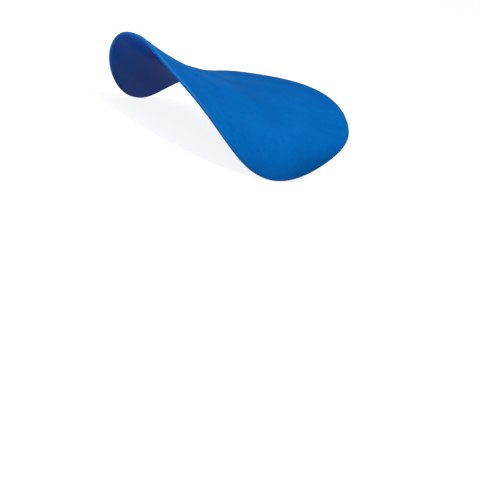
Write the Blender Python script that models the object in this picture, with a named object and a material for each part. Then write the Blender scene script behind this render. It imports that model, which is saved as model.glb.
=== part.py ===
"""Jar opener: a round, flexible rubber grip sheet, in the flexed form of its use.

The object is one moulded piece. It is a flat disc by itself, and in use its middle
is pressed down while its two sides are bent down, so that it makes an arch.

The disc is made flat, with a rounded rim, and is then flexed. Rubber this thin bends
much more easily than it stretches, so the disc is rolled: straight fold lines run
across it, and it turns about each of them in three smooth bends. The disc's faces are
ruled along these lines. The pressing also dips it a little along its length, and
holds a small patch in its middle flat.

Metres, +Z up. The origin is the centre of the pressed patch on the underside. The
raised front edge is towards -Y, and the side that hangs lower there is towards +X.
"""

import math

import bmesh
import bpy
from mathutils import Matrix, Vector

MM = 0.001

# The sheet as it is moulded, lying flat
SHEET_DIAMETER = 127.0 * MM
SHEET_THICKNESS = 1.8 * MM
RIM_ROUNDING = 0.5 * MM

# The three bends: place across the sheet, half the width of the bend, and its turn
FAR_BEND_PLACE = -46.5 * MM
FAR_BEND_HALF_WIDTH = 23.0 * MM
FAR_BEND_TURN = math.radians(98.0)
MIDDLE_BEND_PLACE = 3.0 * MM
MIDDLE_BEND_HALF_WIDTH = 46.0 * MM
MIDDLE_BEND_TURN = math.radians(27.0)
NEAR_BEND_PLACE = 53.0 * MM
NEAR_BEND_HALF_WIDTH = 20.5 * MM
NEAR_BEND_TURN = math.radians(97.0)

# How far the middle fold line slants from the sheet's own length
FOLD_SLANT = math.radians(30.5)

# The dip along the sheet, and the flat patch that is pressed in its middle
DIP_RADIUS = 220.0 * MM
PATCH_RADIUS = 4.0 * MM
PATCH_FADE_WIDTH = 26.0 * MM

# How fine the disc's mesh is, and how fine the roll is worked out
FOLD_LINE_COUNT_PER_SIDE = 28
SEGMENT_COUNT_ALONG_LINE = 24
SEGMENT_COUNT_OF_ROUNDING = 2
STATION_COUNT_PER_SIDE = 130
HALVING_COUNT = 40

SHEET_RADIUS = SHEET_DIAMETER / 2
FACE_RADIUS = SHEET_RADIUS - RIM_ROUNDING
HALF_THICKNESS = SHEET_THICKNESS / 2
STATION_GAP = SHEET_RADIUS / STATION_COUNT_PER_SIDE
BENDS = (
    (FAR_BEND_PLACE, FAR_BEND_HALF_WIDTH, FAR_BEND_TURN),
    (MIDDLE_BEND_PLACE, MIDDLE_BEND_HALF_WIDTH, MIDDLE_BEND_TURN),
    (NEAR_BEND_PLACE, NEAR_BEND_HALF_WIDTH, NEAR_BEND_TURN),
)

RUBBER_BLUE = (0.004, 0.125, 0.42, 1.0)
RUBBER_ROUGHNESS = 0.42


def clear_scene():
    """Remove every object that the new scene starts with."""
    for old in list(bpy.data.objects):
        bpy.data.objects.remove(old, do_unlink=True)


def smooth_share(share):
    """Ease from 0 to 1 as share goes from 0 to 1."""
    held = min(max(share, 0.0), 1.0)
    return held * held * (3.0 - 2.0 * held)


def fold_direction(across):
    """Return the direction, on the flat disc, of the fold line at a place across it.

    The lines run square to the width at both sides of the disc and slant in
    between, and no two of them meet on the disc.
    """
    share = across / SHEET_RADIUS
    slant = -FOLD_SLANT * (1.0 - share * share) * (1.0 + share)
    return Vector((math.cos(slant), math.sin(slant), 0.0))


def fold_line_points(across):
    """Return points along one fold line of the flat disc, from the face's back edge to its front."""
    middle = Vector((0.0, across, 0.0))
    direction = fold_direction(across)
    offset = middle.dot(direction)
    reach = math.sqrt(FACE_RADIUS * FACE_RADIUS - across * across + offset * offset)
    back = middle - direction * (reach + offset)
    front = middle + direction * (reach - offset)
    count = SEGMENT_COUNT_ALONG_LINE
    return [back.lerp(front, number / count) for number in range(count + 1)]


def ruled_face_points():
    """Return the face's points: its two side ends, and a row along each fold line between."""
    count = FOLD_LINE_COUNT_PER_SIDE
    ends = (Vector((0.0, -FACE_RADIUS, 0.0)), Vector((0.0, FACE_RADIUS, 0.0)))
    rows = []
    for number in range(1 - count, count):
        across = FACE_RADIUS * math.sin(math.pi / 2 * number / count)
        rows.append(fold_line_points(across))
    return ends, rows


def edge_in_order(ends, rows):
    """Return what lies on a face's edge, in order round the disc."""
    fronts = [row[-1] for row in rows]
    backs = [row[0] for row in reversed(rows)]
    return [ends[0], *fronts, ends[1], *backs]


def add_ruled_face(mesh, height):
    """Add one face of the disc at a height, and return its corners in order round the disc."""
    end_points, point_rows = ruled_face_points()
    level = Vector((0.0, 0.0, height))
    ends = [mesh.verts.new(point + level) for point in end_points]
    rows = [[mesh.verts.new(point + level) for point in row] for row in point_rows]
    for row, following in zip(rows, rows[1:]):
        for number in range(SEGMENT_COUNT_ALONG_LINE):
            near, beyond = row[number : number + 2], following[number : number + 2]
            mesh.faces.new((near[0], near[1], beyond[1], beyond[0]))
    for end, row in ((ends[0], rows[0]), (ends[1], rows[-1])):
        for pair in zip(row, row[1:]):
            mesh.faces.new((*pair, end))
    return edge_in_order(ends, rows)


def rounded_rim():
    """Return the rim's section below the faces' edges: radius and height, from low to high."""
    corner_height = HALF_THICKNESS - RIM_ROUNDING
    lower = []
    for segment in range(1, SEGMENT_COUNT_OF_ROUNDING + 1):
        angle = math.pi / 2 * segment / SEGMENT_COUNT_OF_ROUNDING
        radius = FACE_RADIUS + RIM_ROUNDING * math.sin(angle)
        height = corner_height + RIM_ROUNDING * math.cos(angle)
        lower.append((radius, -height))
    upper = [(radius, -height) for radius, height in reversed(lower)]
    return lower + upper


def moulded_disc():
    """Make the flat disc: both ruled faces, and the rounded rim that joins them."""
    mesh = bmesh.new()
    rings = [add_ruled_face(mesh, -HALF_THICKNESS)]
    edge = edge_in_order(*ruled_face_points())
    for radius, height in rounded_rim():
        places = [point * (radius / FACE_RADIUS) + Vector((0.0, 0.0, height)) for point in edge]
        rings.append([mesh.verts.new(place) for place in places])
    rings.append(add_ruled_face(mesh, HALF_THICKNESS))
    for ring, following in zip(rings, rings[1:]):
        for number, corner in enumerate(ring):
            corners = (ring[number - 1], corner, following[number], following[number - 1])
            mesh.faces.new(corners)
    bmesh.ops.recalc_face_normals(mesh, faces=mesh.faces)
    return mesh


def bend_rate(across):
    """Return the turn per metre of the rolled sheet at a place across it.

    Each bend starts and ends softly, as a raised cosine, and its rates add up to
    its turn.
    """
    rate = 0.0
    for place, half_width, turn in BENDS:
        share = (across - place) / half_width
        if abs(share) < 1.0:
            rate += turn / half_width * (1.0 + math.cos(math.pi * share)) / 2
    return rate


def fold_line_through(flat):
    """Return the place across the disc of the fold line that passes a point of it."""
    low, high = -SHEET_RADIUS, SHEET_RADIUS
    for _ in range(HALVING_COUNT):
        middle = (low + high) / 2
        direction = fold_direction(middle)
        beyond = direction.x * (flat.y - middle) - direction.y * flat.x
        if beyond > 0.0:
            low = middle
        else:
            high = middle
    return (low + high) / 2


class Station:
    """A place across the rolled sheet: where its centre line is, and how it is turned."""

    def __init__(self, across, frame, centre):
        self.across = across
        self.frame = frame
        self.centre = centre

    def onward(self, step):
        """Return the station one step further, turned about the fold line that is passed."""
        halfway = self.across + step / 2
        fold_axis = self.frame @ fold_direction(halfway)
        half_turn = Matrix.Rotation(-bend_rate(halfway) * step / 2, 3, fold_axis)
        halfway_frame = half_turn @ self.frame
        centre = self.centre + halfway_frame.col[1] * step
        return Station(self.across + step, half_turn @ halfway_frame, centre)


class RolledSheet:
    """The disc's middle surface, rolled from its middle line out to both sides."""

    def __init__(self):
        middle = fold_direction(0.0)
        turn_to_front = -math.pi / 2 - math.atan2(middle.y, middle.x)
        start = Station(0.0, Matrix.Rotation(turn_to_front, 3, "Z"), Vector((0.0, 0.0, 0.0)))
        self.sides = {side: self.roll(start, side * STATION_GAP) for side in (-1, 1)}

    def roll(self, start, step):
        """Return the stations from the middle line to one side."""
        stations = [start]
        for _ in range(STATION_COUNT_PER_SIDE):
            stations.append(stations[-1].onward(step))
        return stations

    def station(self, across):
        """Return the station at any place across the sheet."""
        side = 1 if across > 0.0 else -1
        number = min(int(abs(across) / STATION_GAP), STATION_COUNT_PER_SIDE)
        nearest = self.sides[side][number]
        return nearest.onward(across - nearest.across)

    def rolled(self, moulded):
        """Return where the roll takes a point of the flat disc."""
        flat = Vector((moulded.x, moulded.y, 0.0))
        across = fold_line_through(flat)
        station = self.station(across)
        from_station = moulded - Vector((0.0, across, 0.0))
        return station.centre + station.frame @ from_station


def dipped(point):
    """Bend a point about a level axis high above the sheet, so that front and back go up."""
    angle = -point.y / DIP_RADIUS
    reach = DIP_RADIUS - point.z
    return Vector((point.x, -reach * math.sin(angle), DIP_RADIUS - reach * math.cos(angle)))


def flex(mesh):
    """Roll and dip every point of the flat disc, and keep its pressed patch flat."""
    sheet = RolledSheet()
    for vertex in mesh.verts:
        moulded = vertex.co.copy()
        from_patch = math.hypot(moulded.x, moulded.y) - PATCH_RADIUS
        freedom = smooth_share(from_patch / PATCH_FADE_WIDTH)
        point = dipped(sheet.rolled(moulded))
        point.z = moulded.z + (point.z - moulded.z) * freedom
        point.z += HALF_THICKNESS
        vertex.co = point


def rubber_material():
    """Return the blue rubber that the whole sheet is moulded from."""
    material = bpy.data.materials.new("blue_rubber")
    material.use_nodes = True
    shader = material.node_tree.nodes["Principled BSDF"]
    shader.inputs["Base Color"].default_value = RUBBER_BLUE
    shader.inputs["Roughness"].default_value = RUBBER_ROUGHNESS
    shader.inputs["Metallic"].default_value = 0.0
    material.diffuse_color = RUBBER_BLUE
    return material


def grip_sheet():
    """Mould the disc, flex it and give it its rubber."""
    mesh = moulded_disc()
    flex(mesh)
    data = bpy.data.meshes.new("grip_sheet")
    mesh.to_mesh(data)
    mesh.free()
    data.materials.append(rubber_material())
    data.shade_smooth()
    sheet = bpy.data.objects.new("grip_sheet", data)
    bpy.context.collection.objects.link(sheet)
    return sheet


def main():
    """Build the part."""
    clear_scene()
    grip_sheet()


main()
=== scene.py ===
"""Studio scene of a jar opener: a round blue rubber grip sheet in its flexed form.

The sheet is moulded flat, as a disc with a rounded rim, and is then flexed by the
rule of its bends, from the same named sizes as the solid part that it replaces.
"""

import logging
import math
from dataclasses import dataclass, field
from enum import Enum
from typing import Any, Callable, Dict, List, Optional, Sequence, Tuple, Union

import bpy
import numpy as np
from mathutils import Matrix, Quaternion, Vector

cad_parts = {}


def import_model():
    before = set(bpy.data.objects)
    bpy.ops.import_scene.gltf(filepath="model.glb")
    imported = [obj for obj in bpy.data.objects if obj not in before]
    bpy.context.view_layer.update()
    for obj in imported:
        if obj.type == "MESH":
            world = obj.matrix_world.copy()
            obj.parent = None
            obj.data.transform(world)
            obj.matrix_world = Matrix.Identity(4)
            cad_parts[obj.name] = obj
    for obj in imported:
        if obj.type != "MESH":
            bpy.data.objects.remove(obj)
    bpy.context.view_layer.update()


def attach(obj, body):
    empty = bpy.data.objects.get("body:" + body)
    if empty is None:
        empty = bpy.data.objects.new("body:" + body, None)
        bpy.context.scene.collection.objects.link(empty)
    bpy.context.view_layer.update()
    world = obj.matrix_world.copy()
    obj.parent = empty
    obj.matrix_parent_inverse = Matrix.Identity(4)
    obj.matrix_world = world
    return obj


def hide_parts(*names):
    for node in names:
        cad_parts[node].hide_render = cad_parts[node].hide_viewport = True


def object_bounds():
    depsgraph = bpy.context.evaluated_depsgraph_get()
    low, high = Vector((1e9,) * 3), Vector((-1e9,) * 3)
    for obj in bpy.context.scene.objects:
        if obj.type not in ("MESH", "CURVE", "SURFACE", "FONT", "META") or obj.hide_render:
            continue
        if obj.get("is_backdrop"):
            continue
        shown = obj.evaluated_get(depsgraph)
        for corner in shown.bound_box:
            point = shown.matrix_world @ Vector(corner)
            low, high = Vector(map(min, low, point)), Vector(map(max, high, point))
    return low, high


LOG = logging.getLogger("jar_opener_scene")

Colour = Tuple[float, float, float, float]
Place = Tuple[float, float, float]
Limits = Tuple[float, float]
Station = Tuple[float, Tuple[float, ...], Tuple[float, ...]]
FaceTest = Callable[[bpy.types.MeshPolygon], bool]

MM = 0.001
UP = Vector((0.0, 0.0, 1.0))
ORIGIN = (0.0, 0.0, 0.0)
WHITE = (1.0, 1.0, 1.0, 1.0)

# The display's curve from light to code values
CODE_MAX = 255.0
DARK_LIMIT, DARK_SLOPE = 0.04045, 12.92
CURVE_OFFSET, CURVE_POWER = 0.055, 2.4

# The colour sockets of a Mix node, which share their names with its other sockets
MIX_SHARE, MIX_FIRST, MIX_SECOND, MIX_RESULT = 0, 6, 7, 2

# The middle of a noise pattern's values
NOISE_MIDDLE = 0.5

# The least height of a flat face's normal
FLAT_NORMAL = 0.99


class Hold(Enum):
    """How a soft sheet is held in its form."""

    DRAPED = "draped"


class Finish(Enum):
    """The record's material slots."""

    RUBBER = "blue_rubber"


class Facing(Enum):
    """The two ways in which the disc's flat faces look."""

    UP = 1.0
    DOWN = -1.0


def linear(colour: Tuple[int, int, int]) -> Colour:
    """Turn a display colour into the linear colour that shaders use.

    Args:
        colour: Red, green and blue, each from 0 to 255.

    Returns:
        The same colour in linear light, with full alpha.
    """
    light = []
    for code in colour:
        share = code / CODE_MAX
        if share <= DARK_LIMIT:
            light.append(share / DARK_SLOPE)
        else:
            light.append(((share + CURVE_OFFSET) / (1.0 + CURVE_OFFSET)) ** CURVE_POWER)
    return (light[0], light[1], light[2], 1.0)


def eased(share: np.ndarray) -> np.ndarray:
    """Hold shares from 0 to 1, and ease them in and out."""
    held = np.clip(share, 0.0, 1.0)
    return held * held * (3.0 - 2.0 * held)


def deselect_all() -> None:
    """Leave nothing selected, in object mode."""
    if bpy.context.mode != "OBJECT":
        bpy.ops.object.mode_set(mode="OBJECT")
    bpy.ops.object.select_all(action="DESELECT")


def activate(obj: bpy.types.Object) -> None:
    """Select one object alone and make it active."""
    deselect_all()
    obj.select_set(True)
    bpy.context.view_layer.objects.active = obj


class Value:
    """A shader socket that takes part in Python expressions, each adding its Math node."""

    def __init__(self, shader: "Shader", socket: bpy.types.NodeSocket) -> None:
        """Wrap a socket of a shader."""
        self.shader = shader
        self.socket = socket

    def _math(self, operation: str, left: Any, right: Any, clamp: bool = False) -> "Value":
        """Add a Math node.

        Args:
            operation: The node's operation.
            left: Its first value.
            right: Its second value.
            clamp: Whether its result is kept from 0 to 1.

        Returns:
            The node's result.
        """
        settings = {"operation": operation, "use_clamp": clamp}
        return self.shader.node("ShaderNodeMath", settings, {0: left, 1: right})

    def __add__(self, other: Any) -> "Value":
        """Add."""
        return self._math("ADD", self, other)

    __radd__ = __add__

    def __sub__(self, other: Any) -> "Value":
        """Take away."""
        return self._math("SUBTRACT", self, other)

    def __rsub__(self, other: Any) -> "Value":
        """Be taken away."""
        return self._math("SUBTRACT", other, self)

    def __mul__(self, other: Any) -> "Value":
        """Multiply."""
        return self._math("MULTIPLY", self, other)

    __rmul__ = __mul__

    def held(self) -> "Value":
        """Keep from 0 to 1."""
        return self._math("ADD", self, 0.0, clamp=True)

    def larger(self, other: Any) -> "Value":
        """Take the larger of two values."""
        return self._math("MAXIMUM", self, other)


@dataclass(frozen=True)
class Pattern:
    """A noise pattern: its waves per metre, its octaves, and how strong the finer ones are."""

    scale: float
    detail: float
    rough: float


class Shader:
    """A material or world under construction, with one method that adds any node."""

    def __init__(self, owner: Union[bpy.types.Material, bpy.types.World]) -> None:
        """Clear the nodes of a material or a world."""
        owner.use_nodes = True
        self.tree = owner.node_tree
        self.tree.nodes.clear()

    def node(
        self,
        kind: str,
        settings: Optional[Dict[str, Any]] = None,
        inputs: Optional[Dict[Union[int, str], Any]] = None,
        output: Union[int, str] = 0,
    ) -> Value:
        """Add a node.

        Args:
            kind: The node's type.
            settings: Properties of the node, set before its sockets.
            inputs: Values or links of its sockets, by name or number.
            output: The socket that is wanted, by name or number.

        Returns:
            That output socket.
        """
        made = self.tree.nodes.new(kind)
        for name, value in (settings or {}).items():
            setattr(made, name, value)
        for name, value in (inputs or {}).items():
            if isinstance(value, Value):
                self.tree.links.new(value.socket, made.inputs[name])
            else:
                made.inputs[name].default_value = value
        return Value(self, made.outputs[output])

    def finish(self, kind: str, surface: Value) -> None:
        """Link a surface to the material's or the world's output.

        Args:
            kind: The output node's type.
            surface: The shader that it shows.
        """
        self.tree.links.new(surface.socket, self.tree.nodes.new(kind).inputs["Surface"])

    def mix_colours(self, share: Value, first: Any, second: Any) -> Value:
        """Mix two colours.

        Args:
            share: How much of the second colour, from 0 to 1.
            first: The colour at 0.
            second: The colour at 1.

        Returns:
            The mixed colour.
        """
        settings = {"data_type": "RGBA", "clamp_factor": True}
        inputs = {MIX_SHARE: share, MIX_FIRST: first, MIX_SECOND: second}
        return self.node("ShaderNodeMix", settings, inputs, output=MIX_RESULT)

    def noise(self, place: Value, pattern: Pattern) -> Value:
        """Add a noise pattern.

        Args:
            place: The coordinates.
            pattern: The pattern.

        Returns:
            The noise, about 0.5 in the middle.
        """
        inputs = {
            "Vector": place,
            "Scale": pattern.scale,
            "Detail": pattern.detail,
            "Roughness": pattern.rough,
        }
        return self.node("ShaderNodeTexNoise", {"noise_dimensions": "3D"}, inputs)

    def spread(self, value: Value, limits: Limits) -> Value:
        """Stretch the values between two limits over 0 to 1, easing in and out."""
        settings = {"interpolation_type": "SMOOTHSTEP"}
        inputs = {"Value": value, "From Min": limits[0], "From Max": limits[1]}
        return self.node("ShaderNodeMapRange", settings, inputs)

    def bump(self, height: Value, depth: float, normal: Optional[Value] = None) -> Value:
        """Raise the surface by a pattern.

        Args:
            height: The pattern.
            depth: The height of its full range, in metres.
            normal: The normal that it acts on, where that isn't the mesh's own.

        Returns:
            The changed normal.
        """
        inputs = {"Height": height, "Strength": 1.0, "Distance": depth}
        if normal is not None:
            inputs["Normal"] = normal
        return self.node("ShaderNodeBump", {}, inputs)


@dataclass(frozen=True)
class SatinRubber:
    """Moulded blue rubber: a satin skin with a fine grain.

    Its upper rim is paler: a painted highlight where its upper corner catches the light, together
    with wear.
    Its underside came off the polished half of the mould, so it is a little glossier; its deeper,
    more violet blue there is painted shade.
    """

    name: str = "satin_blue_rubber"

    # Each side's blue, and the deeper one that it is mottled with
    top: Colour = linear((6, 102, 180))
    top_deep: Colour = linear((4, 94, 170))
    # the underside's deeper, more violet blue is painted shade, a shaded copy of the top's blue
    under: Colour = linear((14, 96, 196))
    under_deep: Colour = linear((13, 91, 189))
    # painted highlight with some wear: the paler blue of the rim's upper corner, where the light
    # catches it
    rim_highlight_wear_colour: Colour = linear((30, 130, 203))

    # The patterns, and how much the two finest count in the mottling
    cloud: Pattern = Pattern(34.0, 3.0, 0.55)
    handling: Pattern = Pattern(95.0, 4.0, 0.6)
    skin: Pattern = Pattern(420.0, 3.0, 0.55)
    grain: Pattern = Pattern(1500.0, 2.0, 0.5)
    mottle_limits: Limits = (0.3, 0.7)
    fine_share: float = 0.5
    skin_depth: float = 0.05 * MM
    grain_depth: float = 0.03 * MM

    # Where the rim gets its painted highlight and wear, and how much of that is even and how much
    # in patches
    rim_limits: Limits = (0.6, 1.0)
    upper_limits: Limits = (0.35, 0.65)
    even_highlight_wear: float = 0.55
    patchy_highlight_wear: float = 0.6

    # The gloss, and what the grain, the polished patches and the rim's painted highlight and wear
    # do to it
    roughness: float = 0.7
    specular: float = 0.006
    patch_limits: Limits = (0.42, 0.72)
    grain_roughness: float = 0.05
    patch_polish: float = 0.04
    highlight_wear_roughness: float = 0.06
    underside_gloss: float = 0.23
    gloss_roughness: float = 0.42

    def make(self) -> bpy.types.Material:
        """Make the material.

        Returns:
            The finished material.
        """
        material = bpy.data.materials.new(self.name)
        material.diffuse_color = self.top
        shader = Shader(material)
        place = shader.node("ShaderNodeTexCoord", output="Object")
        rim = shader.node("ShaderNodeAttribute", {"attribute_name": "rim"}, output="Fac")
        upper = shader.node("ShaderNodeAttribute", {"attribute_name": "upper"}, output="Fac")
        cloud = shader.noise(place, self.cloud)
        handling = shader.noise(place, self.handling)
        grain = shader.noise(place, self.grain)
        skin = shader.noise(place, self.skin)

        fine = skin + grain - 2 * NOISE_MIDDLE
        mottling = shader.spread(cloud + fine * self.fine_share, self.mottle_limits)
        # the rim's upper corner, where the painted highlight and wear go
        crown = shader.spread(rim, self.rim_limits) * shader.spread(upper, self.upper_limits)
        rim_highlight_wear = (crown * (self.even_highlight_wear + handling * self.patchy_highlight_wear)).held()
        top = shader.mix_colours(mottling, self.top_deep, self.top)
        under = shader.mix_colours(mottling, self.under_deep, self.under)
        # the underside takes its painted shade tint, the top its own blue
        colour = shader.mix_colours(upper, under, top)
        # lay the painted rim highlight and wear over the body colour
        colour = shader.mix_colours(rim_highlight_wear, colour, self.rim_highlight_wear_colour)

        polished = shader.spread(handling, self.patch_limits)
        roughness = self.roughness + (grain - NOISE_MIDDLE) * self.grain_roughness
        roughness = roughness - polished * self.patch_polish + rim_highlight_wear * self.highlight_wear_roughness
        inputs = {
            "Base Color": colour,
            "Roughness": roughness,
            "Normal": shader.bump(skin, self.skin_depth, shader.bump(grain, self.grain_depth)),
            "Specular IOR Level": self.specular,
            "Coat Weight": (1.0 - upper) * self.underside_gloss,
            "Coat Roughness": self.gloss_roughness,
        }
        surface = shader.node("ShaderNodeBsdfPrincipled", {}, inputs)
        shader.finish("ShaderNodeOutputMaterial", surface)
        return material


@dataclass(frozen=True)
class Bend:
    """A smooth bend of the sheet about its fold lines."""

    place: float
    half_width: float
    turn: float

    def rate(self, across: float) -> float:
        """Give the bend's turn per metre at a place across the sheet."""
        share = (across - self.place) / self.half_width
        if abs(share) >= 1.0:
            return 0.0
        return self.turn / self.half_width * (1.0 + math.cos(math.pi * share)) / 2


@dataclass
class FlexedForm:
    """The rule that takes the flat disc to its flexed form.

    Straight fold lines run across the disc, and it turns about each of them. The
    pressing then dips it along its length and keeps a patch in its middle flat.
    """

    radius: float = 63.5 * MM
    thickness: float = 1.8 * MM
    bends: Tuple[Bend, ...] = (
        Bend(-46.5 * MM, 23.0 * MM, math.radians(98.0)),
        Bend(3.0 * MM, 46.0 * MM, math.radians(27.0)),
        Bend(53.0 * MM, 20.5 * MM, math.radians(97.0)),
    )
    fold_slant: float = math.radians(30.5)
    dip_radius: float = 220.0 * MM
    patch_radius: float = 4.0 * MM
    patch_fade_width: float = 26.0 * MM
    stations_per_side: int = 260
    halving_count: int = 40

    def __post_init__(self) -> None:
        """Roll the sheet's centre line from its middle out to both sides."""
        start = -math.pi / 2 - self.slant(0.0)
        upright = Matrix.Rotation(start, 3, "Z")
        gap = self.radius / self.stations_per_side
        stations = self._roll(upright, -gap)[:0:-1] + self._roll(upright, gap)
        across, centres, frames = zip(*stations)
        self._across = np.array(across)
        self._centres = np.array(centres)
        self._frames = np.array(frames)

    def slant(self, across: Any) -> Any:
        """Give the slant of the fold line at a place across the disc.

        Args:
            across: One place or an array of places.

        Returns:
            The slant at each, in radians.
        """
        share = across / self.radius
        return -self.fold_slant * (1.0 - share * share) * (1.0 + share)

    def _roll(self, frame: Matrix, step: float) -> List[Station]:
        """Walk from the middle line to one side.

        Args:
            frame: How the middle of the sheet is turned.
            step: The length of a step, negative towards the far side.

        Returns:
            The stations on the way: place, centre, and the nine numbers of the turn.
        """
        across, centre = 0.0, Vector(ORIGIN)
        stations = [(across, tuple(centre), tuple(value for row in frame for value in row))]
        for _ in range(self.stations_per_side):
            halfway = across + step / 2
            slant = self.slant(halfway)
            axis = frame @ Vector((math.cos(slant), math.sin(slant), 0.0))
            rate = sum(bend.rate(halfway) for bend in self.bends)
            half_turn = Matrix.Rotation(-rate * step / 2, 3, axis)
            frame = half_turn @ frame
            centre = centre + frame.col[1] * step
            frame = half_turn @ frame
            across += step
            numbers = tuple(value for row in frame for value in row)
            stations.append((across, tuple(centre), numbers))
        return stations

    def _fold_lines_through(self, flat: np.ndarray) -> np.ndarray:
        """Find the fold line that passes each point of the flat disc.

        Args:
            flat: The points' x and y, one row each.

        Returns:
            The place across the disc of each point's fold line.
        """
        low = np.full(len(flat), -self.radius)
        high = np.full(len(flat), self.radius)
        for _ in range(self.halving_count):
            middle = (low + high) / 2
            slant = self.slant(middle)
            beyond = np.cos(slant) * (flat[:, 1] - middle) - np.sin(slant) * flat[:, 0] > 0.0
            low = np.where(beyond, middle, low)
            high = np.where(beyond, high, middle)
        return (low + high) / 2

    def _between(self, across: np.ndarray, values: np.ndarray) -> np.ndarray:
        """Read values that the stations hold, one row each, at places between them."""
        columns = [np.interp(across, self._across, column) for column in values.T]
        return np.column_stack(columns)

    def flexed(self, moulded: np.ndarray) -> np.ndarray:
        """Take points of the flat disc to their places in the part's frame.

        Args:
            moulded: The points of the flat disc, one row each.

        Returns:
            Their places, one row each.
        """
        across = self._fold_lines_through(moulded[:, :2])
        turns = self._between(across, self._frames).reshape(-1, 3, 3)
        from_line = moulded.copy()
        from_line[:, 1] -= across
        rolled = self._between(across, self._centres) + np.einsum("nij,nj->ni", turns, from_line)
        angle = -rolled[:, 1] / self.dip_radius
        reach = self.dip_radius - rolled[:, 2]
        dipped = self.dip_radius - reach * np.cos(angle)
        from_patch = np.hypot(moulded[:, 0], moulded[:, 1]) - self.patch_radius
        freedom = eased(from_patch / self.patch_fade_width)
        level = moulded[:, 2]
        height = level + (dipped - level) * freedom + self.thickness / 2
        return np.column_stack([rolled[:, 0], -reach * np.sin(angle), height])


@dataclass
class GripSheet:
    """The one moulded piece: a round rubber sheet, flexed."""

    name: str = "grip_sheet_rubber"
    node: str = "grip_sheet"
    rim_rounding: float = 0.5 * MM
    round_profile: float = 0.5
    rim_segments: int = 288
    rounding_segments: int = 5
    ring_count: int = 48
    form: FlexedForm = field(default_factory=FlexedForm)
    finish: SatinRubber = field(default_factory=SatinRubber)

    @property
    def face_radius(self) -> float:
        """Give the radius at which the flat faces end and the rim's rounding starts."""
        return self.form.radius - self.rim_rounding

    def build(self) -> bpy.types.Object:
        """Mould the disc, flex it and dress it.

        Returns:
            The finished piece.
        """
        sheet = self._blank()
        self._round_rim(sheet)
        self._ring_faces(sheet)
        self._mark_places(sheet)
        self._flex(sheet)
        sheet.data.materials.clear()
        sheet.data.materials.append(self.finish.make())
        self._declare(sheet)
        return sheet

    def _blank(self) -> bpy.types.Object:
        """Add the flat disc as it is stamped, with square edges."""
        deselect_all()
        bpy.ops.mesh.primitive_cylinder_add(
            vertices=self.rim_segments,
            radius=self.form.radius,
            depth=self.form.thickness,
            end_fill_type="NGON",
            location=ORIGIN,
        )
        sheet = bpy.context.object
        sheet.name = sheet.data.name = self.name
        return sheet

    def _edit_selected(self, sheet: bpy.types.Object, wanted: FaceTest) -> None:
        """Go to edit mode with some faces selected.

        Args:
            sheet: The piece.
            wanted: Tells whether a face is selected.
        """
        activate(sheet)
        bpy.ops.object.mode_set(mode="EDIT")
        bpy.ops.mesh.select_mode(type="FACE")
        bpy.ops.mesh.select_all(action="DESELECT")
        bpy.ops.object.mode_set(mode="OBJECT")
        for face in sheet.data.polygons:
            face.select = wanted(face)
        bpy.ops.object.mode_set(mode="EDIT")

    def _undivided_face(self, facing: Facing) -> FaceTest:
        """Give the test that picks the one flat face of a side before it has rings."""
        return lambda face: (
            face.normal.z * facing.value > FLAT_NORMAL and len(face.vertices) == self.rim_segments
        )

    def _round_rim(self, sheet: bpy.types.Object) -> None:
        """Round both edges of the rim, as the mould does."""
        self._edit_selected(sheet, lambda face: abs(face.normal.z) > FLAT_NORMAL)
        bpy.ops.mesh.region_to_loop()
        bpy.ops.mesh.bevel(
            offset=self.rim_rounding,
            offset_type="OFFSET",
            segments=self.rounding_segments,
            profile=self.round_profile,
            affect="EDGES",
        )
        bpy.ops.object.mode_set(mode="OBJECT")

    def _ring_faces(self, sheet: bpy.types.Object) -> None:
        """Inset each flat face ring by ring down to the pressed patch, so that it can flex."""
        gap = (self.face_radius - self.form.patch_radius) / self.ring_count
        for facing in Facing:
            self._edit_selected(sheet, self._undivided_face(facing))
            for _ in range(self.ring_count):
                bpy.ops.mesh.inset(thickness=gap, depth=0.0, use_even_offset=True)
            bpy.ops.object.mode_set(mode="OBJECT")

    def _mark_places(self, sheet: bpy.types.Object) -> None:
        """Store where each point is on the flat disc, for the finish.

        The shares go from 0 to 1: "rim" from the faces' edge to the outermost line,
        and "upper" from the underside to the top.

        Args:
            sheet: The flat piece.
        """
        moulded = self._points(sheet)
        out = np.hypot(moulded[:, 0], moulded[:, 1]) - self.face_radius
        shares = {
            "rim": out / self.rim_rounding,
            "upper": (moulded[:, 2] + self.form.thickness / 2) / self.form.thickness,
        }
        for name, share in shares.items():
            layer = sheet.data.attributes.new(name, "FLOAT", "POINT")
            layer.data.foreach_set("value", np.clip(share, 0.0, 1.0).astype(np.float32))

    def _points(self, sheet: bpy.types.Object) -> np.ndarray:
        """Read the mesh's points, one row each."""
        flat = np.empty(len(sheet.data.vertices) * 3)
        sheet.data.vertices.foreach_get("co", flat)
        return flat.reshape(-1, 3)

    def _flex(self, sheet: bpy.types.Object) -> None:
        """Flex the flat disc, and shade it smooth."""
        flexed = self.form.flexed(self._points(sheet))
        sheet.data.vertices.foreach_set("co", flexed.ravel())
        sheet.data.update()
        activate(sheet)
        bpy.ops.object.mode_set(mode="EDIT")
        bpy.ops.mesh.select_all(action="SELECT")
        bpy.ops.mesh.normals_make_consistent(inside=False)
        bpy.ops.object.mode_set(mode="OBJECT")
        bpy.ops.object.shade_smooth()

    def _declare(self, sheet: bpy.types.Object) -> None:
        """Hide the solid part that the piece stands for, and hang the piece on the body that it
        rides on.
        """
        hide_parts(self.node)
        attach(sheet, "root")


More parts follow.
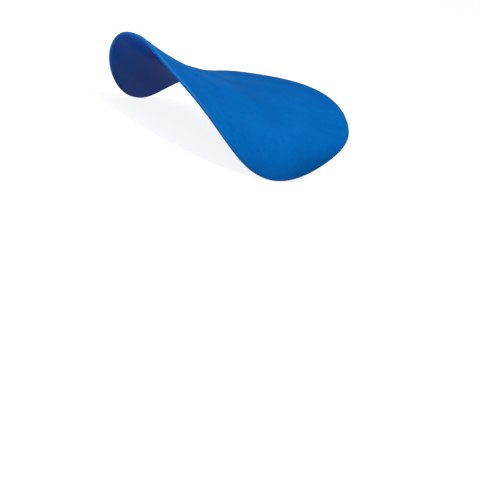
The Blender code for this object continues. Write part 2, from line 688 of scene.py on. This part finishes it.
@dataclass
class Viewpoint:
    """The camera: where it stands, where it looks and how it is tilted."""

    name: str = "viewpoint"
    place: Place = (545.11 * MM, -508.48 * MM, 110.17 * MM)
    forward: Place = (-0.67861, 0.69705, -0.23154)
    roll: float = math.radians(24.86)
    lens: float = 115.95
    sensor_width: float = 36.0
    clip: Limits = (0.01, 50.0)

    def build(self) -> bpy.types.Object:
        """Make the scene's camera.

        Returns:
            The camera.
        """
        data = bpy.data.cameras.new(self.name)
        data.lens = self.lens
        data.sensor_width = self.sensor_width
        data.clip_start, data.clip_end = self.clip
        camera = bpy.data.objects.new(self.name, data)
        bpy.context.scene.collection.objects.link(camera)
        level = Vector(self.forward).to_track_quat("-Z", "Y")
        camera.rotation_mode = "QUATERNION"
        camera.rotation_quaternion = level @ Quaternion(UP, self.roll)
        camera.location = self.place
        bpy.context.scene.camera = camera
        return camera


@dataclass(frozen=True)
class Lamp:
    """A soft square white lamp that points at the origin."""

    name: str
    place: Place
    size: float
    power: float

    def build(self) -> bpy.types.Object:
        """Add the lamp.

        Returns:
            The lamp.
        """
        data = bpy.data.lights.new(self.name, "AREA")
        data.shape = "SQUARE"
        data.size = self.size
        data.energy = self.power
        lamp = bpy.data.objects.new(self.name, data)
        bpy.context.scene.collection.objects.link(lamp)
        lamp.location = self.place
        aim = -Vector(self.place)
        lamp.rotation_mode = "QUATERNION"
        lamp.rotation_quaternion = aim.to_track_quat("-Z", "Y")
        return lamp


@dataclass
class Studio:
    """White floor, white surroundings and soft lamps."""

    floor_size: float = 8.0
    floor_glow: float = 0.85
    floor_bounce: Colour = (0.40, 0.40, 0.45, 1.0)
    floor_white: Colour = (0.5, 0.5, 0.5, 1.0)
    ambient: float = 0.26
    lamps: Tuple[Lamp, ...] = (
        Lamp("key_lamp", (0.55, -0.12, 1.1), 0.5, 11.8),
        Lamp("fill_lamp", (0.65, -1.08, 0.12), 0.8, 8.0),
    )

    def build(self, floor_height: float) -> None:
        """Build the studio.

        Args:
            floor_height: The height of the object's lowest point.
        """
        self._surroundings()
        self._floor(floor_height)
        for lamp in self.lamps:
            lamp.build()
        bpy.context.scene.view_settings.view_transform = "Standard"

    @staticmethod
    def _seen(shader: Shader) -> Value:
        """Give 1 for what the camera, a reflection or a clear piece sees, and 0 for other light."""
        paths = [
            shader.node("ShaderNodeLightPath", output=name)
            for name in ("Is Camera Ray", "Is Glossy Ray", "Is Transmission Ray")
        ]
        return paths[0].larger(paths[1]).larger(paths[2])

    def _surroundings(self) -> None:
        """Make the surroundings: white to the eye, and softer as a light."""
        world = bpy.data.worlds.new("surroundings")
        bpy.context.scene.world = world
        shader = Shader(world)
        strength = self._seen(shader) * (1.0 - self.ambient) + self.ambient
        inputs = {"Color": WHITE, "Strength": strength}
        light = shader.node("ShaderNodeBackground", {}, inputs)
        shader.finish("ShaderNodeOutputWorld", light)

    def _floor(self, height: float) -> None:
        """Lay the floor under the object: white to the eye, with its shadow, and softer as a light.

        Args:
            height: The height of the object's lowest point.
        """
        deselect_all()
        bpy.ops.mesh.primitive_plane_add(size=self.floor_size, location=(0.0, 0.0, height))
        floor = bpy.context.object
        floor.name = floor.data.name = "studio_floor"
        material = bpy.data.materials.new("white_floor")
        shader = Shader(material)
        seen = self._seen(shader)
        bounce = shader.node("ShaderNodeBsdfDiffuse", {}, {"Color": self.floor_bounce})
        white = shader.node("ShaderNodeBsdfDiffuse", {}, {"Color": self.floor_white})
        glow = shader.node("ShaderNodeEmission", {}, {"Strength": self.floor_glow})
        bright = shader.node("ShaderNodeAddShader", {}, {0: white, 1: glow})
        surface = shader.node("ShaderNodeMixShader", {}, {0: seen, 1: bounce, 2: bright})
        shader.finish("ShaderNodeOutputMaterial", surface)
        floor.data.materials.append(material)
        floor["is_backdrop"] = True


def main() -> None:
    """Load the part, dress it and light it."""
    logging.basicConfig(level=logging.INFO, format="%(name)s: %(message)s")
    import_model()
    Viewpoint().build()
    sheet = GripSheet().build()
    LOG.info("%s: %d faces", sheet.name, len(sheet.data.polygons))
    Studio().build(floor_height=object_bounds()[0].z)


if __name__ == "__main__":
    main()
